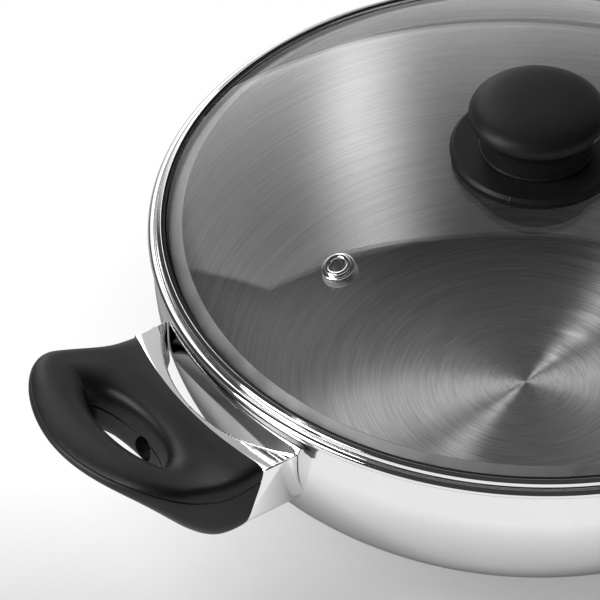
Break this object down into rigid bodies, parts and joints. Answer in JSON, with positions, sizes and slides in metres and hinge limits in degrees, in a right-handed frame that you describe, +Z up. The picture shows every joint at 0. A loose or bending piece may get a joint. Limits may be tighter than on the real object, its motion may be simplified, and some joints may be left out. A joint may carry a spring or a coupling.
{
  "type": "wok with lid",
  "caption": "Polished steel wok with a flat layered base, black loop handles on steel brackets, and a domed glass lid with steel band, knob and steam vent.",
  "frame": {"origin": "on the floor under the pan's axis, at the middle of the base's underside", "axes": "+X along the line through both handles, +Z up along the axis of pan and lid; the steam vent lies on the -X side"},
  "size_m": [0.424, 0.2898, 0.1491],
  "materials": {
    "pan_steel": "mirror polished outside and on the rim, brushed in circles inside",
    "polished_steel": "mirror polished",
    "brushed_steel": "brushed in circles",
    "core_aluminium": "pressed, plain",
    "fitting_steel": "plain zinc grey",
    "insert_brass": "turned",
    "black_plastic": "matte, very finely grained",
    "black_rubber": "matte",
    "clear_glass": "clear, polished"
  },
  "bodies": {
    "pan": {"pan_body": "pan_steel", "base_core": "core_aluminium", "base_cap": "brushed_steel", "handle_bracket_right": "polished_steel", "handle_right": "black_plastic", "handle_screw_right": "fitting_steel", "handle_washer_right": "fitting_steel", "handle_bracket_left": "polished_steel", "handle_left": "black_plastic", "handle_screw_left": "fitting_steel", "handle_washer_left": "fitting_steel"},
    "lid": {"lid_glass": "clear_glass", "lid_seal": "black_rubber", "lid_band": "polished_steel", "vent_eyelet": "polished_steel", "vent_ring": "polished_steel", "vent_washer": "fitting_steel", "knob": "black_plastic", "knob_base": "black_plastic", "knob_insert": "insert_brass", "knob_bolt": "fitting_steel", "knob_washer": "fitting_steel", "knob_seal": "black_rubber", "knob_pad": "black_rubber"}
  },
  "joints": [
    {"name": "lid_lift", "type": "slide", "parent": "pan", "child": "lid", "axis": [0, 0, 1], "range_m": [0, 0.16]}
  ]
}
